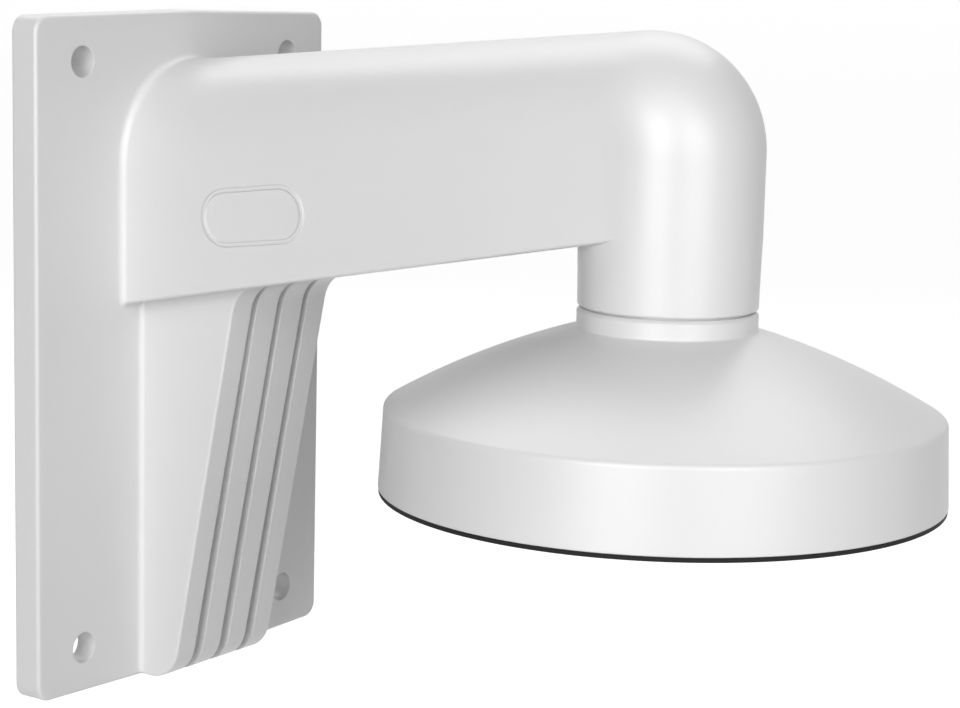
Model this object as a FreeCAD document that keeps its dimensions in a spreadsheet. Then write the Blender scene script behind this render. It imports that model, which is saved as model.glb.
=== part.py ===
import FreeCAD, Part
import math
import os
import Sketcher

# A wall bracket for a dome camera: one casting with a wall plate, an arm, an elbow, a neck and a gusset,
# and under the neck a round dish that takes the camera.
# The frame: origin in the middle of the four wall holes, on the wall. X runs along the wall, +Z is up,
# and the arm stands out towards -Y. Depth below means the distance from the wall, which is -Y.
# All sizes are in millimetres and degrees.

SIZES = [
    # wall plate
    ("plate_width", 119.5),
    ("plate_height", 183.6),
    ("plate_side", 8.3),
    ("plate_crown", 1.2),
    ("plate_rise", 1.0),
    ("plate_corner", 4.5),
    ("plate_edge_round", 1.0),
    ("plate_recess", 2.4),
    ("plate_rim", 3.2),
    # wall holes
    ("hole_margin_x", 17.05),
    ("hole_margin_z", 12.1),
    ("hole_radius", 4.2),
    ("boss_radius", 7.5),
    # arm
    ("arm_root_half", 27.75),
    ("arm_root_floor", 13.4),
    ("arm_top_slope", 5.3),
    ("arm_floor_slope", 11.06),
    ("arm_root_round", 2.0),
    ("arm_edge_round", 1.0),
    ("arm_wall", 3.2),
    # elbow and neck
    ("arm_length", 163.95),
    ("neck_radius", 22.65),
    ("neck_end_radius", 22.3),
    ("neck_end_height", 25.9),
    ("neck_edge_round", 0.6),
    ("elbow_height", 64.05),
    ("elbow_bend", 6.3),
    ("flange_thickness", 6.0),
    # gusset under the arm
    ("gusset_half", 20.25),
    ("gusset_top_depth", 42.8),
    ("gusset_slope", 10.95),
    ("gusset_foot_gap", 0.6),
    ("gusset_top_round", 9.0),
    ("gusset_bottom_round", 10.0),
    ("gusset_root_round", 1.6),
    ("gusset_edge_round", 0.6),
    ("groove_pitch", 11.0),
    ("groove_top_width", 2.3),
    ("groove_foot_width", 3.8),
    ("groove_top_depth", 2.4),
    ("groove_foot_depth", 6.0),
    # raised ring on the arm's side
    ("ring_length", 33.5),
    ("ring_height", 15.4),
    ("ring_band", 1.1),
    ("ring_rise", 0.35),
    ("ring_tilt", 7.5),
    ("ring_depth", 53.2),
    ("ring_level", 41.2),
    # dish
    ("collar_radius", 22.4),
    ("collar_bottom", 20.6),
    ("collar_chamfer", 0.8),
    ("seam_gap", 0.5),
    ("seam_depth", 1.4),
    ("dome_radius", 205.0),
    ("dome_edge_height", 0.2),
    ("dome_edge_round", 1.6),
    ("dome_root_round", 0.5),
    ("rim_radius", 70.5),
    ("rim_drop", 20.15),
    ("skirt_draft", 2.9),
    ("dish_wall", 3.2),
    ("dish_floor", 5.0),
    # cable hole and screws between neck and dish
    ("cable_radius", 8.5),
    ("screw_circle", 14.2),
    ("screw_radius", 2.0),
    ("screw_length", 9.0),
    ("screw_head_radius", 3.6),
    ("screw_head_height", 2.4),
    ("screw_socket", 1.5),
    ("screw_socket_depth", 1.4),
    ("thread_clearance", 0.1),
    ("screw_clearance", 0.25),
    # camera posts inside the dish
    ("post_circle", 50.0),
    ("post_radius", 4.5),
    ("post_recess", 3.0),
    ("post_hole_radius", 1.65),
    ("post_hole_depth", 12.0),
    # seals
    ("gasket_thickness", 1.2),
    ("gasket_inset", 0.15),
    ("gasket_width", 3.0),
    ("seal_groove_radius", 18.2),
    ("seal_groove_width", 2.0),
    ("seal_groove_depth", 1.2),
    ("seal_clearance", 0.3),
]

doc = FreeCAD.newDocument("camera_wall_bracket")
sheet = doc.addObject("Spreadsheet::Sheet", "Size")
for row, (name, number) in enumerate(SIZES, start=1):
    sheet.set(f"A{row}", name)
    sheet.set(f"B{row}", str(number))
    sheet.setAlias(f"B{row}", name)
doc.recompute()

# How far a cutting outline runs past the material that it cuts.
SPARE = 5.0
# How closely a point must lie on a plane to count as on it.
CLOSE = 0.01
# How many screws hold the dish, how many posts take the camera, and the sides of a screw's socket.
SCREW_COUNT = 3
POST_COUNT = 3
SOCKET_SIDES = 6


def value(expression):
    """The number that an expression gives with the sheet's sizes."""
    result = sheet.evalExpression(expression)
    return float(getattr(result, "Value", result))


def plane_of(body, role):
    """The body's own origin plane of that role."""
    return next(plane for plane in body.Origin.OriginFeatures if plane.Role == role)


def sketch_on(body, name, role, shift=("0", "0", "0"), tilt_axis=None, tilt="0"):
    """A sketch on an origin plane, moved along the sketch's own axes and then tilted about one of them."""
    sketch = body.newObject("Sketcher::SketchObject", name)
    sketch.AttachmentSupport = [(plane_of(body, role), "")]
    sketch.MapMode = "FlatFace"
    if tilt_axis is not None:
        sketch.AttachmentOffset = FreeCAD.Placement(FreeCAD.Vector(), FreeCAD.Rotation(tilt_axis, value(tilt)))
        sketch.setExpression("AttachmentOffset.Rotation.Angle", tilt)
    for axis, expression in zip("xyz", shift):
        sketch.setExpression(f"AttachmentOffset.Base.{axis}", expression)
    return sketch


def bind(sketch, kind, geometry, expression):
    """A dimension that follows an expression; geometry is what the kind of dimension measures."""
    index = sketch.addConstraint(Sketcher.Constraint(kind, *geometry, value(expression)))
    sketch.setExpression(f"Constraints[{index}]", expression)


def place_point(sketch, edge, vertex, x, y):
    """Holds one vertex of an edge at x, y from the sketch's origin."""
    bind(sketch, "DistanceX", (-1, 1, edge, vertex), x)
    bind(sketch, "DistanceY", (-1, 1, edge, vertex), y)


def arc_between(start, end, radius, turn):
    """The shorter arc from start to end that turns left or right."""
    chord = end - start
    half = chord.Length / 2
    across = FreeCAD.Vector(-chord.y, chord.x, 0).normalize()
    inward = across if turn == "left" else -across
    centre = (start + end) / 2 + inward * math.sqrt(max(radius * radius - half * half, 0.0))
    first, last = (start, end) if turn == "left" else (end, start)
    angles = [math.atan2(point.y - centre.y, point.x - centre.x) for point in (first, last)]
    return Part.ArcOfCircle(Part.Circle(centre, FreeCAD.Vector(0, 0, 1), radius), *angles)


def draw_outline(sketch, route):
    """A closed outline. Each entry of the route is the next corner, x and y. An entry with a radius
    and a turn as well is reached by an arc instead of a line."""
    corners = [FreeCAD.Vector(value(entry[0]), value(entry[1]), 0) for entry in route]
    ends = []
    for index, entry in enumerate(route):
        start = corners[index - 1]
        end = corners[index]
        if len(entry) == 2:
            edge = sketch.addGeometry(Part.LineSegment(start, end), False)
            ends.append((edge, 1, 2))
        else:
            radius, turn = entry[2:]
            edge = sketch.addGeometry(arc_between(start, end, value(radius), turn), False)
            bind(sketch, "Radius", (edge,), radius)
            ends.append((edge, 1, 2) if turn == "left" else (edge, 2, 1))
    for index, entry in enumerate(route):
        edge, _, last = ends[index]
        following, first, _ = ends[(index + 1) % len(ends)]
        sketch.addConstraint(Sketcher.Constraint("Coincident", edge, last, following, first))
        place_point(sketch, edge, last, entry[0], entry[1])


def draw_circle(sketch, x, y, radius):
    """A circle with its centre at x, y."""
    circle = Part.Circle(FreeCAD.Vector(value(x), value(y), 0), FreeCAD.Vector(0, 0, 1), value(radius))
    edge = sketch.addGeometry(circle, False)
    bind(sketch, "Radius", (edge,), radius)
    place_point(sketch, edge, 3, x, y)


def extrude(body, kind, name, sketch, length, symmetric=False, turned=False):
    """A pad or a pocket of a sketch."""
    feature = body.newObject(f"PartDesign::{kind}", name)
    feature.Profile = sketch
    feature.Length = value(length)
    feature.setExpression("Length", length)
    feature.SideType = "Symmetric" if symmetric else "One side"
    feature.Reversed = turned
    doc.recompute()
    return feature


def turn_about(body, kind, name, sketch, axis, angle="360", turned=False):
    """A revolution or a groove of a sketch about one of the sketch's own axes."""
    feature = body.newObject(f"PartDesign::{kind}", name)
    feature.Profile = sketch
    feature.ReferenceAxis = (sketch, [axis])
    feature.Angle = value(angle)
    feature.setExpression("Angle", angle)
    feature.Reversed = turned
    doc.recompute()
    return feature


def loft(body, kind, name, first, last):
    """A straight loft from one sketch to another."""
    feature = body.newObject(f"PartDesign::{kind}", name)
    feature.Profile = first
    feature.Sections = [last]
    feature.Ruled = True
    doc.recompute()
    return feature


def edges_where(feature, test):
    """The names of the feature's edges of which every sampled point passes the test."""
    names = []
    for number, edge in enumerate(feature.Shape.Edges, start=1):
        if all(test(point) for point in edge.discretize(Number=5)):
            names.append(f"Edge{number}")
    return names


def dress(body, kind, name, feature, test, size):
    """A fillet or a chamfer on the edges of a feature that pass the test."""
    dressed = body.newObject(f"PartDesign::{kind}", name)
    dressed.Base = (feature, edges_where(feature, test))
    measure = "Radius" if kind == "Fillet" else "Size"
    setattr(dressed, measure, value(size))
    dressed.setExpression(measure, size)
    doc.recompute()
    return dressed


# Places that several outlines share, worked out from the sizes.
HOLE_X = "(Size.plate_width / 2 - Size.hole_margin_x)"
HOLE_Z = "(Size.plate_height / 2 - Size.hole_margin_z)"
GUSSET_FOOT = "(Size.plate_height / 2 + Size.plate_rise - Size.gusset_foot_gap)"
BEND_DEPTH = "(Size.arm_length - Size.elbow_bend)"
ELBOW_OUTER = "(Size.elbow_bend + Size.neck_radius)"
ARM_TAPER = f"((Size.arm_root_half - Size.neck_radius) / ({BEND_DEPTH} - Size.plate_side))"
ARM_TOP = (
    f"(Size.elbow_height + {ELBOW_OUTER} / cos(Size.arm_top_slope)"
    f" - tan(Size.arm_top_slope) * ({BEND_DEPTH} - Size.plate_side))"
)
# How far below the elbow's axis the arm's underside lies, measured in the tilted section.
ARM_DROP = (
    "((Size.elbow_height - Size.arm_root_floor"
    f" - tan(Size.arm_floor_slope) * ({BEND_DEPTH} - Size.plate_side))"
    " / (cos(Size.arm_top_slope) + tan(Size.arm_floor_slope) * sin(Size.arm_top_slope)))"
)


def arm_floor(depth):
    """The height of the arm's underside at a depth."""
    return f"(Size.arm_root_floor + tan(Size.arm_floor_slope) * ({depth} - Size.plate_side))"


def tunnel(half, floor, spring, corner):
    """Half of a section with a flat floor, a rounded lower corner, a straight side and a round top."""
    return [
        ("0", floor),
        (f"{half} - {corner}", floor),
        (half, f"{floor} + {corner}", corner, "left"),
        (half, spring),
        ("0", f"{spring} + {half}", half, "left"),
    ]


def box_section(half, floor, top, corner):
    """Half of a section with a flat floor, a rounded lower corner and a flat top."""
    return [
        ("0", floor),
        (f"{half} - {corner}", floor),
        (half, f"{floor} + {corner}", corner, "left"),
        (half, top),
        ("0", top),
    ]


def add_plate(body):
    """Half of the wall plate, crowned towards the die's parting line: higher and thicker at the middle."""
    side = "(Size.plate_width / 2)"
    end = "(Size.plate_height / 2)"
    outline = sketch_on(body, "PlateOutline", "XZ_Plane")
    draw_outline(outline, [
        ("0", f"-({end} + Size.plate_rise)"),
        (side, f"-{end}"),
        (side, end),
        ("0", f"{end} + Size.plate_rise"),
    ])
    extrude(body, "Pad", "Plate", outline, "Size.plate_side + Size.plate_crown")
    crown = sketch_on(body, "CrownOutline", "XY_Plane")
    past = f"({side} + {SPARE})"
    far = f"-(Size.plate_side + Size.plate_crown + {SPARE})"
    draw_outline(crown, [
        ("0", "-(Size.plate_side + Size.plate_crown)"),
        ("0", far),
        (past, far),
        (past, f"-(Size.plate_side - {SPARE} * Size.plate_crown / {side})"),
    ])
    crowned = extrude(body, "Pocket", "Crown", crown, f"Size.plate_height + {4 * SPARE}", symmetric=True)
    half_width = value(side)
    half_height = value(end)

    def on_corner(point):
        """On one of the corner edges that run from the wall to the front."""
        return abs(point.x - half_width) < CLOSE and abs(abs(point.z) - half_height) < CLOSE

    cornered = dress(body, "Fillet", "PlateCorner", crowned, on_corner, "Size.plate_corner")
    inside = value("Size.plate_corner") + CLOSE
    edge_depth = value("Size.plate_side")

    def on_front_rim(point):
        """On the rim of the front face."""
        near_rim = point.x > half_width - inside or abs(point.z) > half_height - CLOSE
        return -point.y > edge_depth - CLOSE and near_rim

    return dress(body, "Fillet", "PlateEdgeRound", cornered, on_front_rim, "Size.plate_edge_round")


def arm_sections(body, name, inset):
    """The arm's section inside the plate and its tilted section at the elbow's axis, both inset by a wall."""
    corner = "Size.arm_edge_round"
    floor_inset = f"{inset} / cos(Size.arm_floor_slope)"
    root = sketch_on(body, f"{name}Root", "XZ_Plane", ("0", "0", "Size.plate_side"))
    root_half = f"(Size.arm_root_half - {inset})"
    root_floor = f"(Size.arm_root_floor + {floor_inset})"
    draw_outline(root, tunnel(root_half, root_floor, f"({ARM_TOP} - Size.arm_root_half)", corner))
    end = tilted_sketch(body, f"{name}End")
    end_half = f"(Size.neck_radius - {inset})"
    draw_outline(end, tunnel(end_half, f"({floor_inset} - {ARM_DROP})", "Size.elbow_bend", corner))
    return root, end


def tilted_sketch(body, name):
    """A sketch square to the arm's top line, with its origin on the elbow's axis."""
    shift = ("0", "Size.elbow_height", BEND_DEPTH)
    return sketch_on(body, name, "XZ_Plane", shift, FreeCAD.Vector(1, 0, 0), "-Size.arm_top_slope")


def shoulder_sections(body, name, inset):
    """The arm's part under the elbow's axis, from the tilted section to the neck's axis."""
    corner = "Size.arm_edge_round"
    floor_inset = f"{inset} / cos(Size.arm_floor_slope)"
    half = f"(Size.neck_radius - {inset})"
    start = tilted_sketch(body, f"{name}Start")
    draw_outline(start, box_section(half, f"({floor_inset} - {ARM_DROP})", "0", corner))
    end = sketch_on(body, f"{name}End", "XZ_Plane", ("0", "0", "Size.arm_length"))
    end_floor = f"({arm_floor('Size.arm_length')} + {floor_inset})"
    draw_outline(end, box_section(half, end_floor, "Size.elbow_height", corner))
    return start, end


def elbow_section(body, name, inset):
    """Half of the level section through the elbow's axis, from which the elbow turns up."""
    half = f"(Size.neck_radius - {inset})"
    section = sketch_on(body, name, "XY_Plane", ("0", f"-{BEND_DEPTH}", "Size.elbow_height"))
    draw_outline(section, [
        ("0", "0"),
        ("0", f"-(Size.elbow_bend + {half})"),
        (half, "-Size.elbow_bend", half, "left"),
        (half, "0"),
    ])
    return section


def add_arm(body):
    """Half of the arm, the elbow, the shoulder under it and the neck."""
    arm = loft(body, "AdditiveLoft", "Arm", *arm_sections(body, "Arm", "0"))
    root_half = value("Size.arm_root_half") + CLOSE
    low = value("Size.arm_root_floor") - CLOSE
    high = value(ARM_TOP) + value("Size.plate_crown")
    crest = value("Size.plate_side + Size.plate_crown")
    fall = value("Size.plate_crown / (Size.plate_width / 2)")

    def on_root(point):
        """Where the arm leaves the plate's front face."""
        on_face = abs(-point.y - crest + fall * point.x) < CLOSE
        return on_face and point.x < root_half and low < point.z < high

    dress(body, "Fillet", "ArmRootRound", arm, on_root, "Size.arm_root_round")
    section = elbow_section(body, "ElbowSection", "0")
    turn_about(body, "Revolution", "Elbow", section, "H_Axis", "90 + Size.arm_top_slope", turned=True)
    loft(body, "AdditiveLoft", "Shoulder", *shoulder_sections(body, "Shoulder", "0"))
    profile = sketch_on(body, "NeckProfile", "YZ_Plane", ("-Size.arm_length", "0", "0"))
    draw_outline(profile, [
        ("0", "Size.neck_end_height"),
        ("Size.neck_end_radius", "Size.neck_end_height"),
        ("Size.neck_radius", arm_floor("Size.arm_length")),
        ("Size.neck_radius", "Size.elbow_height"),
        ("0", "Size.elbow_height"),
    ])
    neck = turn_about(body, "Revolution", "Neck", profile, "V_Axis", "180", turned=True)
    end_height = value("Size.neck_end_height")
    end_radius = value("Size.neck_end_radius")
    reach = value("Size.arm_length")

    def on_end(point):
        """On the outer edge of the neck's lower end."""
        return abs(point.z - end_height) < CLOSE and math.hypot(point.x, point.y + reach) > end_radius - CLOSE

    return dress(body, "Fillet", "NeckEdgeRound", neck, on_end, "Size.neck_edge_round")


# The gusset's front line meets the arm's underside at this height, and these are the places where the
# rounds at its top and bottom begin and end.
GUSSET_TOP = arm_floor("Size.gusset_top_depth")
TOP_TANGENT = "(Size.gusset_top_round / tan((90 + Size.gusset_slope + Size.arm_floor_slope) / 2))"
BOTTOM_TANGENT = "(Size.gusset_bottom_round / tan((90 + Size.gusset_slope) / 2))"


def gusset_front(height):
    """The depth of the gusset's front line at a height."""
    return f"(Size.gusset_top_depth - tan(Size.gusset_slope) * ({GUSSET_TOP} - ({height})))"


def add_gusset(body):
    """Half of the gusset under the arm, with the round that joins its side to the plate."""
    outline = sketch_on(body, "GussetOutline", "YZ_Plane")
    foot = gusset_front(f"-{GUSSET_FOOT}")
    end_depth = f"(Size.gusset_top_depth + {TOP_TANGENT} * cos(Size.arm_floor_slope))"
    lap = "(Size.arm_wall / 2)"
    draw_outline(outline, [
        ("-Size.plate_side", f"-{GUSSET_FOOT}"),
        (f"-({foot} - {BOTTOM_TANGENT})", f"-{GUSSET_FOOT}"),
        (
            f"-({foot} + {BOTTOM_TANGENT} * sin(Size.gusset_slope))",
            f"{BOTTOM_TANGENT} * cos(Size.gusset_slope) - {GUSSET_FOOT}",
            "Size.gusset_bottom_round", "right",
        ),
        (
            f"-(Size.gusset_top_depth - {TOP_TANGENT} * sin(Size.gusset_slope))",
            f"{GUSSET_TOP} - {TOP_TANGENT} * cos(Size.gusset_slope)",
        ),
        (f"-{end_depth}", arm_floor(end_depth), "Size.gusset_top_round", "left"),
        (f"-{end_depth}", f"{arm_floor(end_depth)} + {lap}"),
        ("-Size.plate_side", f"{arm_floor('Size.plate_side')} + {lap}"),
    ])
    gusset = extrude(body, "Pad", "Gusset", outline, "Size.gusset_half")
    half = value("Size.gusset_half")
    front = value(f"{end_depth} - {TOP_TANGENT} * cos(Size.arm_floor_slope)")
    bottom = value(f"-{GUSSET_FOOT}")
    slope = value("tan(Size.gusset_slope)")

    def on_front(point):
        """On the edge between the gusset's side and its front and bottom."""
        if abs(point.x - half) > CLOSE:
            return False
        on_line = abs(-point.y - front + slope * (value(GUSSET_TOP) - point.z)) < CLOSE
        return on_line or abs(point.z - bottom) < CLOSE

    dress(body, "Fillet", "GussetEdgeRound", gusset, on_front, "Size.gusset_edge_round")
    fall = "(Size.plate_crown / (Size.plate_width / 2))"
    centre_x = "(Size.gusset_half + Size.gusset_root_round)"
    centre_depth = (
        f"(Size.plate_side + Size.plate_crown - {fall} * {centre_x}"
        f" + Size.gusset_root_round / cos(atan({fall})))"
    )
    touch_x = f"({centre_x} - Size.gusset_root_round * sin(atan({fall})))"
    touch_depth = f"({centre_depth} - Size.gusset_root_round * cos(atan({fall})))"
    rise = f"{GUSSET_FOOT} - Size.gusset_edge_round"
    root = sketch_on(body, "GussetRoot", "XY_Plane", ("0", "0", f"-({rise})"))
    draw_outline(root, [
        (f"Size.gusset_half - {lap}", f"-({touch_depth} - {lap})"),
        (touch_x, f"-({touch_depth} - {lap})"),
        (touch_x, f"-{touch_depth}"),
        ("Size.gusset_half", f"-{centre_depth}", "Size.gusset_root_round", "left"),
        (f"Size.gusset_half - {lap}", f"-{centre_depth}"),
    ])
    return extrude(body, "Pad", "GussetRootRound", root, f"{rise} + Size.arm_root_floor + {lap}")


def inner_front(inset):
    """The depth and height where a line inset from the gusset's front meets the arm's underside."""
    along = f"({inset} / cos(Size.gusset_slope) / (1 - tan(Size.gusset_slope) * tan(Size.arm_floor_slope)))"
    depth = f"(Size.gusset_top_depth - {along})"
    return depth, arm_floor(depth)


def add_groove(body, name, across):
    """A groove down the gusset's front, wider and deeper towards the foot, with a straight floor, so that
    it ends only near the bottom of the front's foot round."""
    top_depth, top_height = inner_front("Size.groove_top_depth")
    below = f"-({GUSSET_FOOT} + {SPARE})"
    foot_depth = f"({gusset_front(below)} - Size.groove_foot_depth / cos(Size.gusset_slope))"
    clear = f"-({TOP_TANGENT} + Size.groove_foot_depth + {SPARE})"
    places = {
        "Top": (top_depth, top_height, "(Size.groove_top_width / 2)"),
        "Foot": (foot_depth, below, "(Size.groove_foot_width / 2)"),
    }
    sections = []
    for end, (depth, height, half) in places.items():
        shift = (across, f"-{depth}", height)
        across_axis = FreeCAD.Vector(1, 0, 0)
        section = sketch_on(body, f"{name}{end}", "XY_Plane", shift, across_axis, "-Size.arm_floor_slope")
        draw_outline(section, [(f"-{half}", clear), (half, clear), (half, "0"), (f"-{half}", "0")])
        sections.append(section)
    return loft(body, "SubtractiveLoft", name, *sections)


def hollow_plate(body):
    """The recess in the plate's back, the upper bosses in it and the wall holes."""
    side = "(Size.plate_width / 2 - Size.plate_rim)"
    end = "(Size.plate_height / 2 - Size.plate_rim)"
    recess = sketch_on(body, "RecessOutline", "XZ_Plane", ("0", "0", "Size.plate_recess"))
    draw_outline(recess, [
        ("0", f"-({end} + Size.plate_rise)"),
        (side, f"-{end}"),
        (side, end),
        ("0", f"{end} + Size.plate_rise"),
    ])
    extrude(body, "Pocket", "Recess", recess, f"Size.plate_recess + {SPARE}")
    boss = sketch_on(body, "BossOutline", "XZ_Plane")
    draw_circle(boss, HOLE_X, HOLE_Z, "Size.boss_radius")
    extrude(body, "Pad", "Boss", boss, "(Size.plate_recess + Size.plate_side) / 2")
    before = f"Size.plate_side + Size.plate_crown + {SPARE}"
    holes = sketch_on(body, "WallHoles", "XZ_Plane", ("0", "0", before))
    for sign in ("", "-"):
        draw_circle(holes, HOLE_X, f"{sign}{HOLE_Z}", "Size.hole_radius")
    return extrude(body, "Pocket", "WallHole", holes, f"{before} + {SPARE}")


def hollow_arm(body):
    """The cable way from the plate's back through the arm, the elbow and the neck."""
    root, end = arm_sections(body, "Way", "Size.arm_wall")
    extrude(body, "Pocket", "WayEntry", root, f"Size.plate_side + {SPARE}")
    loft(body, "SubtractiveLoft", "Way", root, end)
    section = elbow_section(body, "WayElbowSection", "Size.arm_wall")
    turn_about(body, "Groove", "WayElbow", section, "H_Axis", "90 + Size.arm_top_slope", turned=True)
    loft(body, "SubtractiveLoft", "WayShoulder", *shoulder_sections(body, "WayShoulder", "Size.arm_wall"))
    profile = sketch_on(body, "NeckBoreProfile", "YZ_Plane", ("-Size.arm_length", "0", "0"))
    inner = "(Size.neck_radius - Size.arm_wall)"
    land = "(Size.neck_end_height + Size.flange_thickness)"
    below = f"(Size.neck_end_height - {SPARE})"
    draw_outline(profile, [
        ("0", below),
        ("Size.cable_radius", below),
        ("Size.cable_radius", land),
        (inner, land),
        (inner, "Size.elbow_height"),
        ("0", "Size.elbow_height"),
    ])
    return turn_about(body, "Groove", "NeckBore", profile, "V_Axis", "180", turned=True)


def hollow_gusset(body):
    """The gusset's core, open to the plate's back."""
    outline = sketch_on(body, "GussetCoreOutline", "YZ_Plane")
    bottom = f"-({GUSSET_FOOT} - Size.arm_wall)"
    foot = f"({gusset_front(bottom)} - (Size.arm_wall + Size.groove_foot_depth) / cos(Size.gusset_slope))"
    top_depth, top_height = inner_front("(Size.arm_wall + Size.groove_top_depth)")
    draw_outline(outline, [
        (f"{SPARE}", bottom),
        (f"{SPARE}", arm_floor(f"-{SPARE}")),
        (f"-{top_depth}", top_height),
        (f"-{foot}", bottom),
    ])
    return extrude(body, "Pocket", "GussetCore", outline, "Size.gusset_half - Size.arm_wall", turned=True)


def mirror_half(body):
    """The other half of the casting."""
    whole = body.newObject("PartDesign::Mirrored", "Mirrored")
    whole.TransformMode = "Whole shape"
    whole.MirrorPlane = (plane_of(body, "YZ_Plane"), [""])
    body.Tip = whole
    doc.recompute()
    return whole


def add_ring(body):
    """The raised stadium ring on one side of the arm, tilted about as the arm's middle line is."""
    slant = f"atan({ARM_TAPER})"
    side = f"(Size.arm_root_half - {ARM_TAPER} * (Size.ring_depth - Size.plate_side))"
    shift = ("-Size.ring_depth", "Size.ring_level", f"-{side}")
    ring = sketch_on(body, "RingOutline", "YZ_Plane", shift, FreeCAD.Vector(0, 1, 0), slant)
    straight = "((Size.ring_length - Size.ring_height) / 2)"
    for radius in ("(Size.ring_height / 2)", "(Size.ring_height / 2 - Size.ring_band)"):
        tip = f"({straight} + {radius})"
        places = [
            (f"-{straight}", f"-{radius}", True), (straight, f"-{radius}", False), (tip, "0", True),
            (straight, radius, True), (f"-{straight}", radius, False), (f"-{tip}", "0", True),
        ]
        route = []
        for along, across, curved in places:
            corner = (
                f"{along} * cos(Size.ring_tilt) + {across} * sin(Size.ring_tilt)",
                f"{across} * cos(Size.ring_tilt) - {along} * sin(Size.ring_tilt)",
            )
            route.append((*corner, radius, "left") if curved else corner)
        draw_outline(ring, route)
    return extrude(body, "Pad", "Ring", ring, "2 * Size.ring_rise", symmetric=True)


def around(radius, count, start):
    """The places of evenly spaced holes on a circle."""
    angles = [f"({start} + {360 * turn / count})" for turn in range(count)]
    return [(f"{radius} * cos({angle})", f"{radius} * sin({angle})") for angle in angles]


def add_flange_holes(body):
    """The three threaded holes in the neck's end flange, which take the screws from the dish."""
    start = f"Size.neck_end_height + Size.flange_thickness + {SPARE}"
    holes = sketch_on(body, "FlangeHoleOutline", "XY_Plane", ("0", "-Size.arm_length", start))
    for x, y in around("Size.screw_circle", SCREW_COUNT, "90"):
        draw_circle(holes, x, y, "Size.screw_radius + Size.thread_clearance")
    return extrude(body, "Pocket", "FlangeHole", holes, f"Size.flange_thickness + {2 * SPARE}")


# The dish is modelled about its own axis. Its dome is an arc, as the collar and the skirt bound it.
SKIRT_TOP = "(Size.rim_radius - tan(Size.skirt_draft) * (Size.rim_drop + Size.dome_edge_height))"
DOME_RUN = f"({SKIRT_TOP} - Size.collar_radius)"
DOME_FALL = "(Size.collar_bottom - Size.dome_edge_height)"
DOME_CHORD = f"sqrt({DOME_RUN} * {DOME_RUN} + {DOME_FALL} * {DOME_FALL})"
DOME_OFFSET = f"sqrt(Size.dome_radius * Size.dome_radius / {DOME_CHORD} / {DOME_CHORD} - 0.25)"
DOME_CENTRE_R = f"(({SKIRT_TOP} + Size.collar_radius) / 2 - {DOME_FALL} * {DOME_OFFSET})"
DOME_CENTRE_Z = f"((Size.collar_bottom + Size.dome_edge_height) / 2 - {DOME_RUN} * {DOME_OFFSET})"


def dome_inside(radius):
    """The height of the dome's inner face at a distance from the axis."""
    arc = "(Size.dome_radius - Size.dish_wall)"
    across = f"({radius} - {DOME_CENTRE_R})"
    return f"({DOME_CENTRE_Z} + sqrt({arc} * {arc} - {across} * {across}))"


def add_dish_shell(body):
    """The dish turned about its axis: a floor, a collar, a dome and a skirt, open below."""
    profile = sketch_on(body, "DishProfile", "YZ_Plane")
    floor = "(Size.neck_end_height - Size.dish_floor)"
    land = "(Size.neck_end_radius - Size.seam_depth)"
    collar_top = "(Size.neck_end_height - Size.seam_gap)"
    collar_inside = "(Size.collar_radius - Size.dish_wall)"
    skirt_inside = f"({SKIRT_TOP} - Size.dish_wall)"
    groove_outer = "(Size.seal_groove_radius + Size.seal_groove_width)"
    groove_floor = "(Size.neck_end_height - Size.seal_groove_depth)"
    draw_outline(profile, [
        ("Size.cable_radius", floor),
        (collar_inside, floor),
        (collar_inside, dome_inside(collar_inside)),
        (skirt_inside, dome_inside(skirt_inside), "Size.dome_radius - Size.dish_wall", "right"),
        ("Size.rim_radius - Size.dish_wall", "-Size.rim_drop"),
        ("Size.rim_radius", "-Size.rim_drop"),
        (SKIRT_TOP, "Size.dome_edge_height"),
        ("Size.collar_radius", "Size.collar_bottom", "Size.dome_radius", "left"),
        ("Size.collar_radius", collar_top),
        (land, collar_top),
        (land, "Size.neck_end_height"),
        (groove_outer, "Size.neck_end_height"),
        (groove_outer, groove_floor),
        ("Size.seal_groove_radius", groove_floor),
        ("Size.seal_groove_radius", "Size.neck_end_height"),
        ("Size.cable_radius", "Size.neck_end_height"),
    ])
    shell = turn_about(body, "Revolution", "DishShell", profile, "V_Axis")

    def on_circle(radius, height):
        """A test for the edge that turns about the axis at a radius and a height."""
        def test(point):
            close = abs(math.hypot(point.x, point.y) - value(radius)) < CLOSE
            return close and abs(point.z - value(height)) < CLOSE
        return test

    shoulder = on_circle(SKIRT_TOP, "Size.dome_edge_height")
    rounded = dress(body, "Fillet", "ShoulderRound", shell, shoulder, "Size.dome_edge_round")
    root = on_circle("Size.collar_radius", "Size.collar_bottom")
    rooted = dress(body, "Fillet", "CollarRootRound", rounded, root, "Size.dome_root_round")
    rim = on_circle("Size.collar_radius", collar_top)
    return dress(body, "Chamfer", "CollarChamfer", rooted, rim, "Size.collar_chamfer")


def add_posts(body):
    """The three posts under the dome that take the camera's base, each up to the dome's inner face."""
    foot = ("0", "0", "-(Size.rim_drop - Size.post_recess)")
    outline = sketch_on(body, "PostOutline", "XY_Plane", foot)
    draw_circle(outline, "0", "Size.post_circle", "Size.post_radius")
    post = body.newObject("PartDesign::Pad", "Post")
    post.Profile = outline
    post.Type = "UpToFirst"
    doc.recompute()
    mouth = sketch_on(body, "PostHoleOutline", "XY_Plane", foot)
    draw_circle(mouth, "0", "Size.post_circle", "Size.post_hole_radius")
    hole = extrude(body, "Pocket", "PostHole", mouth, "Size.post_hole_depth", turned=True)
    posts = body.newObject("PartDesign::PolarPattern", "Posts")
    posts.Originals = [post, hole]
    posts.Axis = (outline, ["N_Axis"])
    posts.Angle = 360
    posts.Occurrences = POST_COUNT
    body.Tip = posts
    doc.recompute()
    return posts


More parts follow.
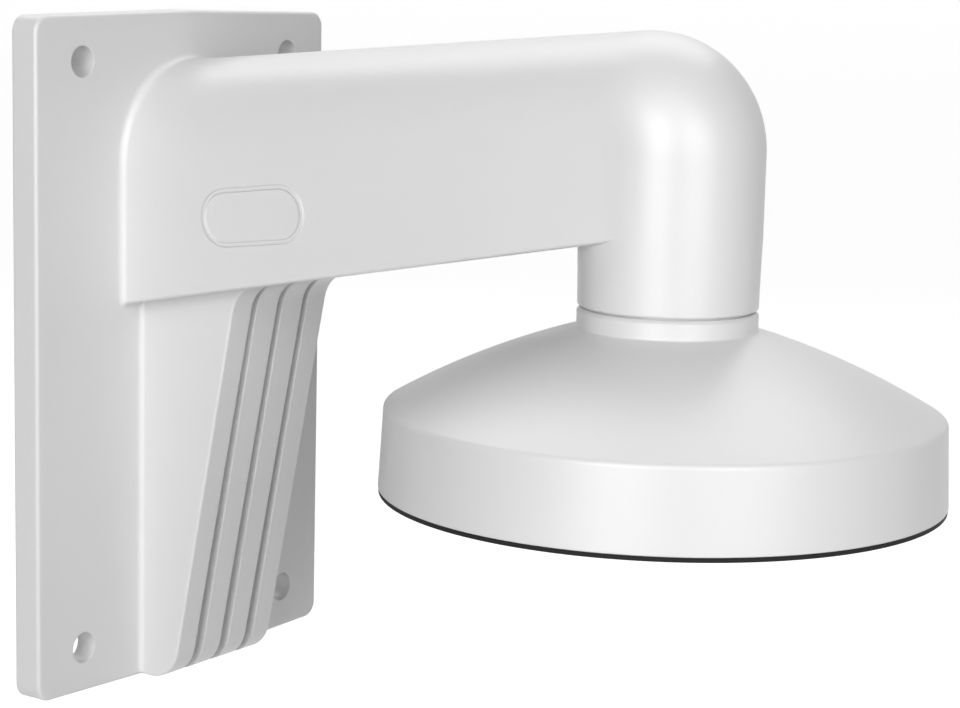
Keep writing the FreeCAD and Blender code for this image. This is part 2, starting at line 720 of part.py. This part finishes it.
def add_floor_holes(body):
    """The clearance holes for the screws in the dish's floor."""
    holes = sketch_on(body, "FloorHoleOutline", "XY_Plane", ("0", "0", f"Size.neck_end_height + {SPARE}"))
    for x, y in around("Size.screw_circle", SCREW_COUNT, "90"):
        draw_circle(holes, x, y, "Size.screw_radius + Size.screw_clearance")
    return extrude(body, "Pocket", "FloorHoles", holes, f"Size.dish_floor + {2 * SPARE}")


def add_band(body, name, inner, outer, bottom, top):
    """A flat ring turned about the axis."""
    profile = sketch_on(body, f"{name}Profile", "YZ_Plane")
    draw_outline(profile, [(inner, bottom), (outer, bottom), (outer, top), (inner, top)])
    return turn_about(body, "Revolution", name, profile, "V_Axis")


def new_body(name, label):
    """A body whose own axis is the neck's axis."""
    body = doc.addObject("PartDesign::Body", name)
    body.Label = label
    body.setExpression("Placement.Base.y", "-Size.arm_length")
    return body


def add_cylinder(name, x, y, z, radius, height):
    """An upright cylinder with its lower end at x, y, z."""
    cylinder = doc.addObject("Part::Cylinder", name)
    places = {
        "Placement.Base.x": x, "Placement.Base.y": y, "Placement.Base.z": z,
        "Radius": radius, "Height": height,
    }
    for item, expression in places.items():
        cylinder.setExpression(item, expression)
    return cylinder


def add_screws():
    """Three screws, each a socket head under the dish's floor and a shank up into the neck's flange."""
    seat = "(Size.neck_end_height - Size.dish_floor)"
    head_bottom = f"({seat} - Size.screw_head_height)"
    screws = []
    for number, (x, y) in enumerate(around("Size.screw_circle", SCREW_COUNT, "90"), start=1):
        name = f"Screw{number}"
        shank = add_cylinder(f"{name}Shank", x, y, head_bottom, "Size.screw_radius",
                             "Size.screw_length + Size.screw_head_height")
        head = add_cylinder(f"{name}Head", x, y, head_bottom, "Size.screw_head_radius",
                            "Size.screw_head_height")
        joined = doc.addObject("Part::Fuse", f"{name}Joined")
        joined.Base = head
        joined.Tool = shank
        socket = doc.addObject("Part::Prism", f"{name}Socket")
        socket.Polygon = SOCKET_SIDES
        for item, expression in {
            "Placement.Base.x": x, "Placement.Base.y": y, "Placement.Base.z": head_bottom,
            "Circumradius": "Size.screw_socket", "Height": "Size.screw_socket_depth",
        }.items():
            socket.setExpression(item, expression)
        screw = doc.addObject("Part::Cut", name)
        screw.Base = joined
        screw.Tool = socket
        screws.append(screw)
    group = doc.addObject("Part::Compound", "DishScrews")
    group.Label = "dish_screws"
    group.Links = screws
    group.setExpression("Placement.Base.y", "-Size.arm_length")
    return group


bracket = doc.addObject("PartDesign::Body", "BracketBody")
bracket.Label = "bracket_body"
add_plate(bracket)
add_arm(bracket)
add_gusset(bracket)
add_groove(bracket, "MiddleGroove", "0")
add_groove(bracket, "OuterGroove", "Size.groove_pitch")
hollow_plate(bracket)
hollow_arm(bracket)
hollow_gusset(bracket)
mirror_half(bracket)
add_ring(bracket)
add_flange_holes(bracket)

dish = new_body("CameraDish", "camera_dish")
add_dish_shell(dish)
add_posts(dish)
add_floor_holes(dish)

gasket = new_body("RimGasket", "rim_gasket")
gasket_outer = "(Size.rim_radius - Size.gasket_inset)"
gasket_bottom = "-(Size.rim_drop + Size.gasket_thickness)"
gasket_inner = f"({gasket_outer} - Size.gasket_width)"
add_band(gasket, "GasketRing", gasket_inner, gasket_outer, gasket_bottom, "-Size.rim_drop")

seal = new_body("NeckSeal", "neck_seal")
seal_inner = "(Size.seal_groove_radius + Size.seal_clearance)"
seal_outer = "(Size.seal_groove_radius + Size.seal_groove_width - Size.seal_clearance)"
seal_bottom = "(Size.neck_end_height - Size.seal_groove_depth)"
add_band(seal, "SealRing", seal_inner, seal_outer, seal_bottom, "Size.neck_end_height")

screws = add_screws()
doc.recompute()

for item in doc.Objects:
    if "Invalid" in item.State or "Error" in item.State:
        raise RuntimeError(f"{item.Name} was not made: {item.State}")
pieces = [bracket, dish, gasket, seal, screws]
for piece in pieces:
    if piece.Shape.isNull() or not piece.Shape.isValid():
        raise RuntimeError(f"{piece.Label} has no sound shape")
os.makedirs("parts", exist_ok=True)
for piece in pieces:
    piece.Shape.exportStep(f"parts/{piece.Label}.step")
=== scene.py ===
import math

import bpy
from mathutils import Matrix, Vector

# A cast wall bracket for a dome camera, with its satin white powder coat, black rubber seals and plain
# steel screws. Lengths are in metres, in the model's own frame: the wall is the plane Y = 0, the arm
# stands out towards -Y, and Z is up.

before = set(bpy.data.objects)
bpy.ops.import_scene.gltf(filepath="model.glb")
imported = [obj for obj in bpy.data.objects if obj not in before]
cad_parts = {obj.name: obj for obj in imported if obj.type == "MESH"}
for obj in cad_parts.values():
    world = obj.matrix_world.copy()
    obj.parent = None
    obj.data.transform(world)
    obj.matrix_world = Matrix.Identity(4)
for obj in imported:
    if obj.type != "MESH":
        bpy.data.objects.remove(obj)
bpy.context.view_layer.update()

# Camera: its angles round the bracket in radians, how far the middle of its view lies from a point on the
# arm, and its lens and film in millimetres.
LOOK_YAW = 0.971
LOOK_PITCH = 0.162
LOOK_ROLL = 0.024
LOOK_DISTANCE = 0.663444
LOOK_AT = Vector((0.0, -0.080, 0.0))
LOOK_ASIDE = 0.02354
LOOK_ABOVE = 0.004465
LENS = 93.37
FILM_WIDTH = 36.0

# Finishes: the darkest and lightest tone, the sizes and depth of what is seen in the surface, and the
# radius that its edges are eased by.
COAT_TONES = ((0.69, 0.69, 0.69), (0.72, 0.72, 0.72))
COAT_GLOSS = 0.9
COAT_PATCH = 0.060
COAT_PEEL = 0.0011
COAT_GRAIN = 0.00028
COAT_DEPTH = 0.000012
COAT_EDGE = 0.0005

RUBBER_TONES = ((0.008, 0.008, 0.0085), (0.013, 0.013, 0.0135))
RUBBER_GLOSS = 0.2
RUBBER_PATCH = 0.012
RUBBER_GRAIN = 0.00035
RUBBER_DEPTH = 0.00003
RUBBER_EDGE = 0.0002

STEEL_TONES = ((0.46, 0.46, 0.47), (0.58, 0.58, 0.59))
STEEL_PATCH = 0.004
STEEL_GRAIN = 0.0002
STEEL_DEPTH = 0.00001
STEEL_EDGE = 0.0001

EDGE_SAMPLES = 8

# Studio: a pale floor in a white room.
FLOOR_TONES = ((0.57, 0.57, 0.57), (0.60, 0.60, 0.60))
FLOOR_MARK = 0.4
FLOOR_ROUGHNESS = 0.9
FLOOR_GLOW = (0.9, 0.9, 0.9)
FLOOR_LEVEL = -0.26
FLOOR_HALF = 30.0
DARK = (0.0, 0.0, 0.0)
WHITE = (1.0, 1.0, 1.0)

# Lamps: name, degrees aside of the camera and above the bracket, distance, width, height and watts.
LAMPS = [
    ("front softbox", 0.0, 30.0, 1.6, 1.8, 1.4, 11.4),
    ("left softbox", -20.0, 10.0, 1.6, 0.8, 1.2, 10.5),
    ("right softbox", 30.0, 12.0, 0.9, 0.45, 0.6, 2.2),
    ("high back softbox", 180.0, 62.0, 0.9, 1.1, 0.6, 4.2),
    ("low back softbox", 180.0, 30.0, 1.8, 1.6, 0.6, 2.1),
]
LIT_MIDDLE = Vector((0.0, -0.090, 0.0))


def camera_axes():
    """The camera's right, up and forward directions."""
    forward = Vector((
        math.sin(LOOK_YAW) * math.cos(LOOK_PITCH),
        math.cos(LOOK_YAW) * math.cos(LOOK_PITCH),
        -math.sin(LOOK_PITCH),
    ))
    level = Vector((math.cos(LOOK_YAW), -math.sin(LOOK_YAW), 0.0))
    upright = level.cross(forward)
    right = math.cos(LOOK_ROLL) * level + math.sin(LOOK_ROLL) * upright
    up = -math.sin(LOOK_ROLL) * level + math.cos(LOOK_ROLL) * upright
    return right, up, forward


def add_camera():
    """The camera at the place from which the bracket was photographed."""
    right, up, forward = camera_axes()
    middle = LOOK_AT + LOOK_ASIDE * right + LOOK_ABOVE * up
    data = bpy.data.cameras.new("view")
    data.sensor_width = FILM_WIDTH
    data.lens = LENS
    camera = bpy.data.objects.new("view", data)
    bpy.context.scene.collection.objects.link(camera)
    turn = Matrix((right, up, -forward)).transposed().to_4x4()
    camera.matrix_world = Matrix.Translation(middle - LOOK_DISTANCE * forward) @ turn
    bpy.context.scene.camera = camera


class Level:
    """A number that varies over a surface, for use in sums."""

    def __init__(self, finish, socket):
        self.finish = finish
        self.socket = socket

    def _join(self, operation, other):
        return self.finish.node("ShaderNodeMath", {"operation": operation}, {0: self, 1: other})

    def __add__(self, other):
        return self._join("ADD", other)

    __radd__ = __add__

    def __mul__(self, other):
        return self._join("MULTIPLY", other)

    __rmul__ = __mul__


def live_socket(sockets, key):
    """A socket by its name or number, out of those that the node's settings leave in use."""
    live = [socket for socket in sockets if socket.enabled]
    if isinstance(key, int):
        return live[key]
    return next(socket for socket in live if socket.name == key)


class Finish:
    """The look of a surface or of the room, put together from nodes."""

    def __init__(self, owner):
        owner.use_nodes = True
        self.owner = owner
        self.tree = owner.node_tree
        self.tree.nodes.clear()

    def node(self, kind, settings=None, values=None, result=0):
        """Adds a node with its settings and the values or links of its sockets."""
        made = self.tree.nodes.new(kind)
        for name, setting in (settings or {}).items():
            setattr(made, name, setting)
        for key, entry in (values or {}).items():
            socket = live_socket(made.inputs, key)
            if isinstance(entry, Level):
                self.tree.links.new(entry.socket, socket)
            else:
                socket.default_value = entry
        if made.outputs:
            return Level(self, live_socket(made.outputs, result))
        return None

    def noise(self, size, detail):
        """Soft random variation with features of a size, from 0 to 1."""
        place = self.node("ShaderNodeTexCoord", result="Object")
        values = {"Vector": place, "Scale": 1.0 / size, "Detail": detail}
        return self.node("ShaderNodeTexNoise", values=values, result="Fac")

    def between(self, amount, first, second):
        """A colour between two others."""
        values = {"Factor": amount, "A": (*first, 1.0), "B": (*second, 1.0)}
        return self.node("ShaderNodeMix", {"data_type": "RGBA"}, values, "Result")

    def relief(self, height, depth, edge):
        """A normal that follows small relief of that depth, with edges eased over a radius."""
        eased = self.node("ShaderNodeBevel", {"samples": EDGE_SAMPLES}, {"Radius": edge})
        values = {"Height": height, "Strength": 1.0, "Distance": depth, "Normal": eased}
        return self.node("ShaderNodeBump", values=values, result="Normal")

    def seen_directly(self):
        """1 for what is seen, also in a gloss or through something clear, and 0 for light on the bracket."""
        names = ("Is Camera Ray", "Is Glossy Ray", "Is Transmission Ray")
        camera, gloss, clear = (self.node("ShaderNodeLightPath", result=name) for name in names)
        return camera + gloss + clear

    def surface(self, **values):
        """Ends a material in a principled surface."""
        named = {name.replace("_", " "): value for name, value in values.items()}
        shader = self.node("ShaderNodeBsdfPrincipled", values=named)
        self.node("ShaderNodeOutputMaterial", values={"Surface": shader})
        return self.owner


def powder_coat():
    """Satin white powder coat: a very fine orange peel, and hardly any change of tone."""
    paint = Finish(bpy.data.materials.new("white powder coat"))
    patches = paint.noise(COAT_PATCH, 2.0)
    peel = paint.noise(COAT_PEEL, 3.0)
    grain = paint.noise(COAT_GRAIN, 2.0)
    return paint.surface(
        Base_Color=paint.between(patches, *COAT_TONES),
        Specular_IOR_Level=COAT_GLOSS,
        Roughness=0.32 + 0.04 * patches + 0.03 * grain,
        Normal=paint.relief(peel * 0.7 + grain * 0.3, COAT_DEPTH, COAT_EDGE),
    )


def black_rubber():
    """Matt black rubber with a fine moulded grain."""
    rubber = Finish(bpy.data.materials.new("black rubber"))
    patches = rubber.noise(RUBBER_PATCH, 3.0)
    grain = rubber.noise(RUBBER_GRAIN, 3.0)
    return rubber.surface(
        Base_Color=rubber.between(patches, *RUBBER_TONES),
        Specular_IOR_Level=RUBBER_GLOSS,
        Roughness=0.62 + 0.12 * grain,
        Normal=rubber.relief(grain, RUBBER_DEPTH, RUBBER_EDGE),
    )


def screw_steel():
    """Plain turned steel."""
    steel = Finish(bpy.data.materials.new("screw steel"))
    patches = steel.noise(STEEL_PATCH, 3.0)
    grain = steel.noise(STEEL_GRAIN, 2.0)
    return steel.surface(
        Base_Color=steel.between(patches, *STEEL_TONES),
        Metallic=1.0,
        Roughness=0.28 + 0.12 * grain,
        Normal=steel.relief(grain, STEEL_DEPTH, STEEL_EDGE),
    )


def studio_floor():
    """Pale floor that shows white to the camera and keeps the bracket's shadow."""
    pale = Finish(bpy.data.materials.new("studio floor"))
    marks = pale.noise(FLOOR_MARK, 2.0)
    return pale.surface(
        Base_Color=pale.between(marks, *FLOOR_TONES),
        Roughness=FLOOR_ROUGHNESS,
        Emission_Color=pale.between(pale.seen_directly(), DARK, FLOOR_GLOW),
        Emission_Strength=1.0,
    )


def studio_room():
    """A room that shows white to the camera and leaves the light to the lamps."""
    room = Finish(bpy.data.worlds.new("studio room"))
    air = room.between(room.seen_directly(), DARK, WHITE)
    backdrop = room.node("ShaderNodeBackground", values={"Color": air})
    room.node("ShaderNodeOutputWorld", values={"Surface": backdrop})
    return room.owner


def add_floor():
    """The studio floor, far larger than the view."""
    turns = [(-1, -1), (1, -1), (1, 1), (-1, 1)]
    corners = [(x * FLOOR_HALF, y * FLOOR_HALF, FLOOR_LEVEL) for x, y in turns]
    mesh = bpy.data.meshes.new("floor")
    mesh.from_pydata(corners, [], [(0, 1, 2, 3)])
    floor = bpy.data.objects.new("floor", mesh)
    floor.data.materials.append(studio_floor())
    bpy.context.scene.collection.objects.link(floor)


def add_soft_lamp(name, aside, above, distance, width, height, power):
    """A soft box. Its direction is turned from the camera's, to the right and up, in degrees."""
    heading = LOOK_YAW - math.radians(aside)
    rise = math.radians(above)
    towards = Vector((
        -math.sin(heading) * math.cos(rise),
        -math.cos(heading) * math.cos(rise),
        math.sin(rise),
    ))
    data = bpy.data.lights.new(name, "AREA")
    data.shape = "RECTANGLE"
    data.size = width
    data.size_y = height
    data.energy = power
    lamp = bpy.data.objects.new(name, data)
    lamp.location = LIT_MIDDLE + distance * towards
    lamp.rotation_euler = towards.to_track_quat("Z", "Y").to_euler()
    bpy.context.scene.collection.objects.link(lamp)


def light_studio():
    """Large soft lamps in a white room."""
    for lamp in LAMPS:
        add_soft_lamp(*lamp)
    bpy.context.scene.world = studio_room()
    bpy.context.scene.view_settings.view_transform = "Standard"


def dress(node, material):
    """Gives a piece its finish."""
    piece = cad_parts[node]
    piece.data.materials.clear()
    piece.data.materials.append(material)


add_camera()
add_floor()
light_studio()
white = powder_coat()
rubber = black_rubber()
dress("bracket_body", white)
dress("camera_dish", white)
dress("rim_gasket", rubber)
dress("neck_seal", rubber)
dress("dish_screws", screw_steel())
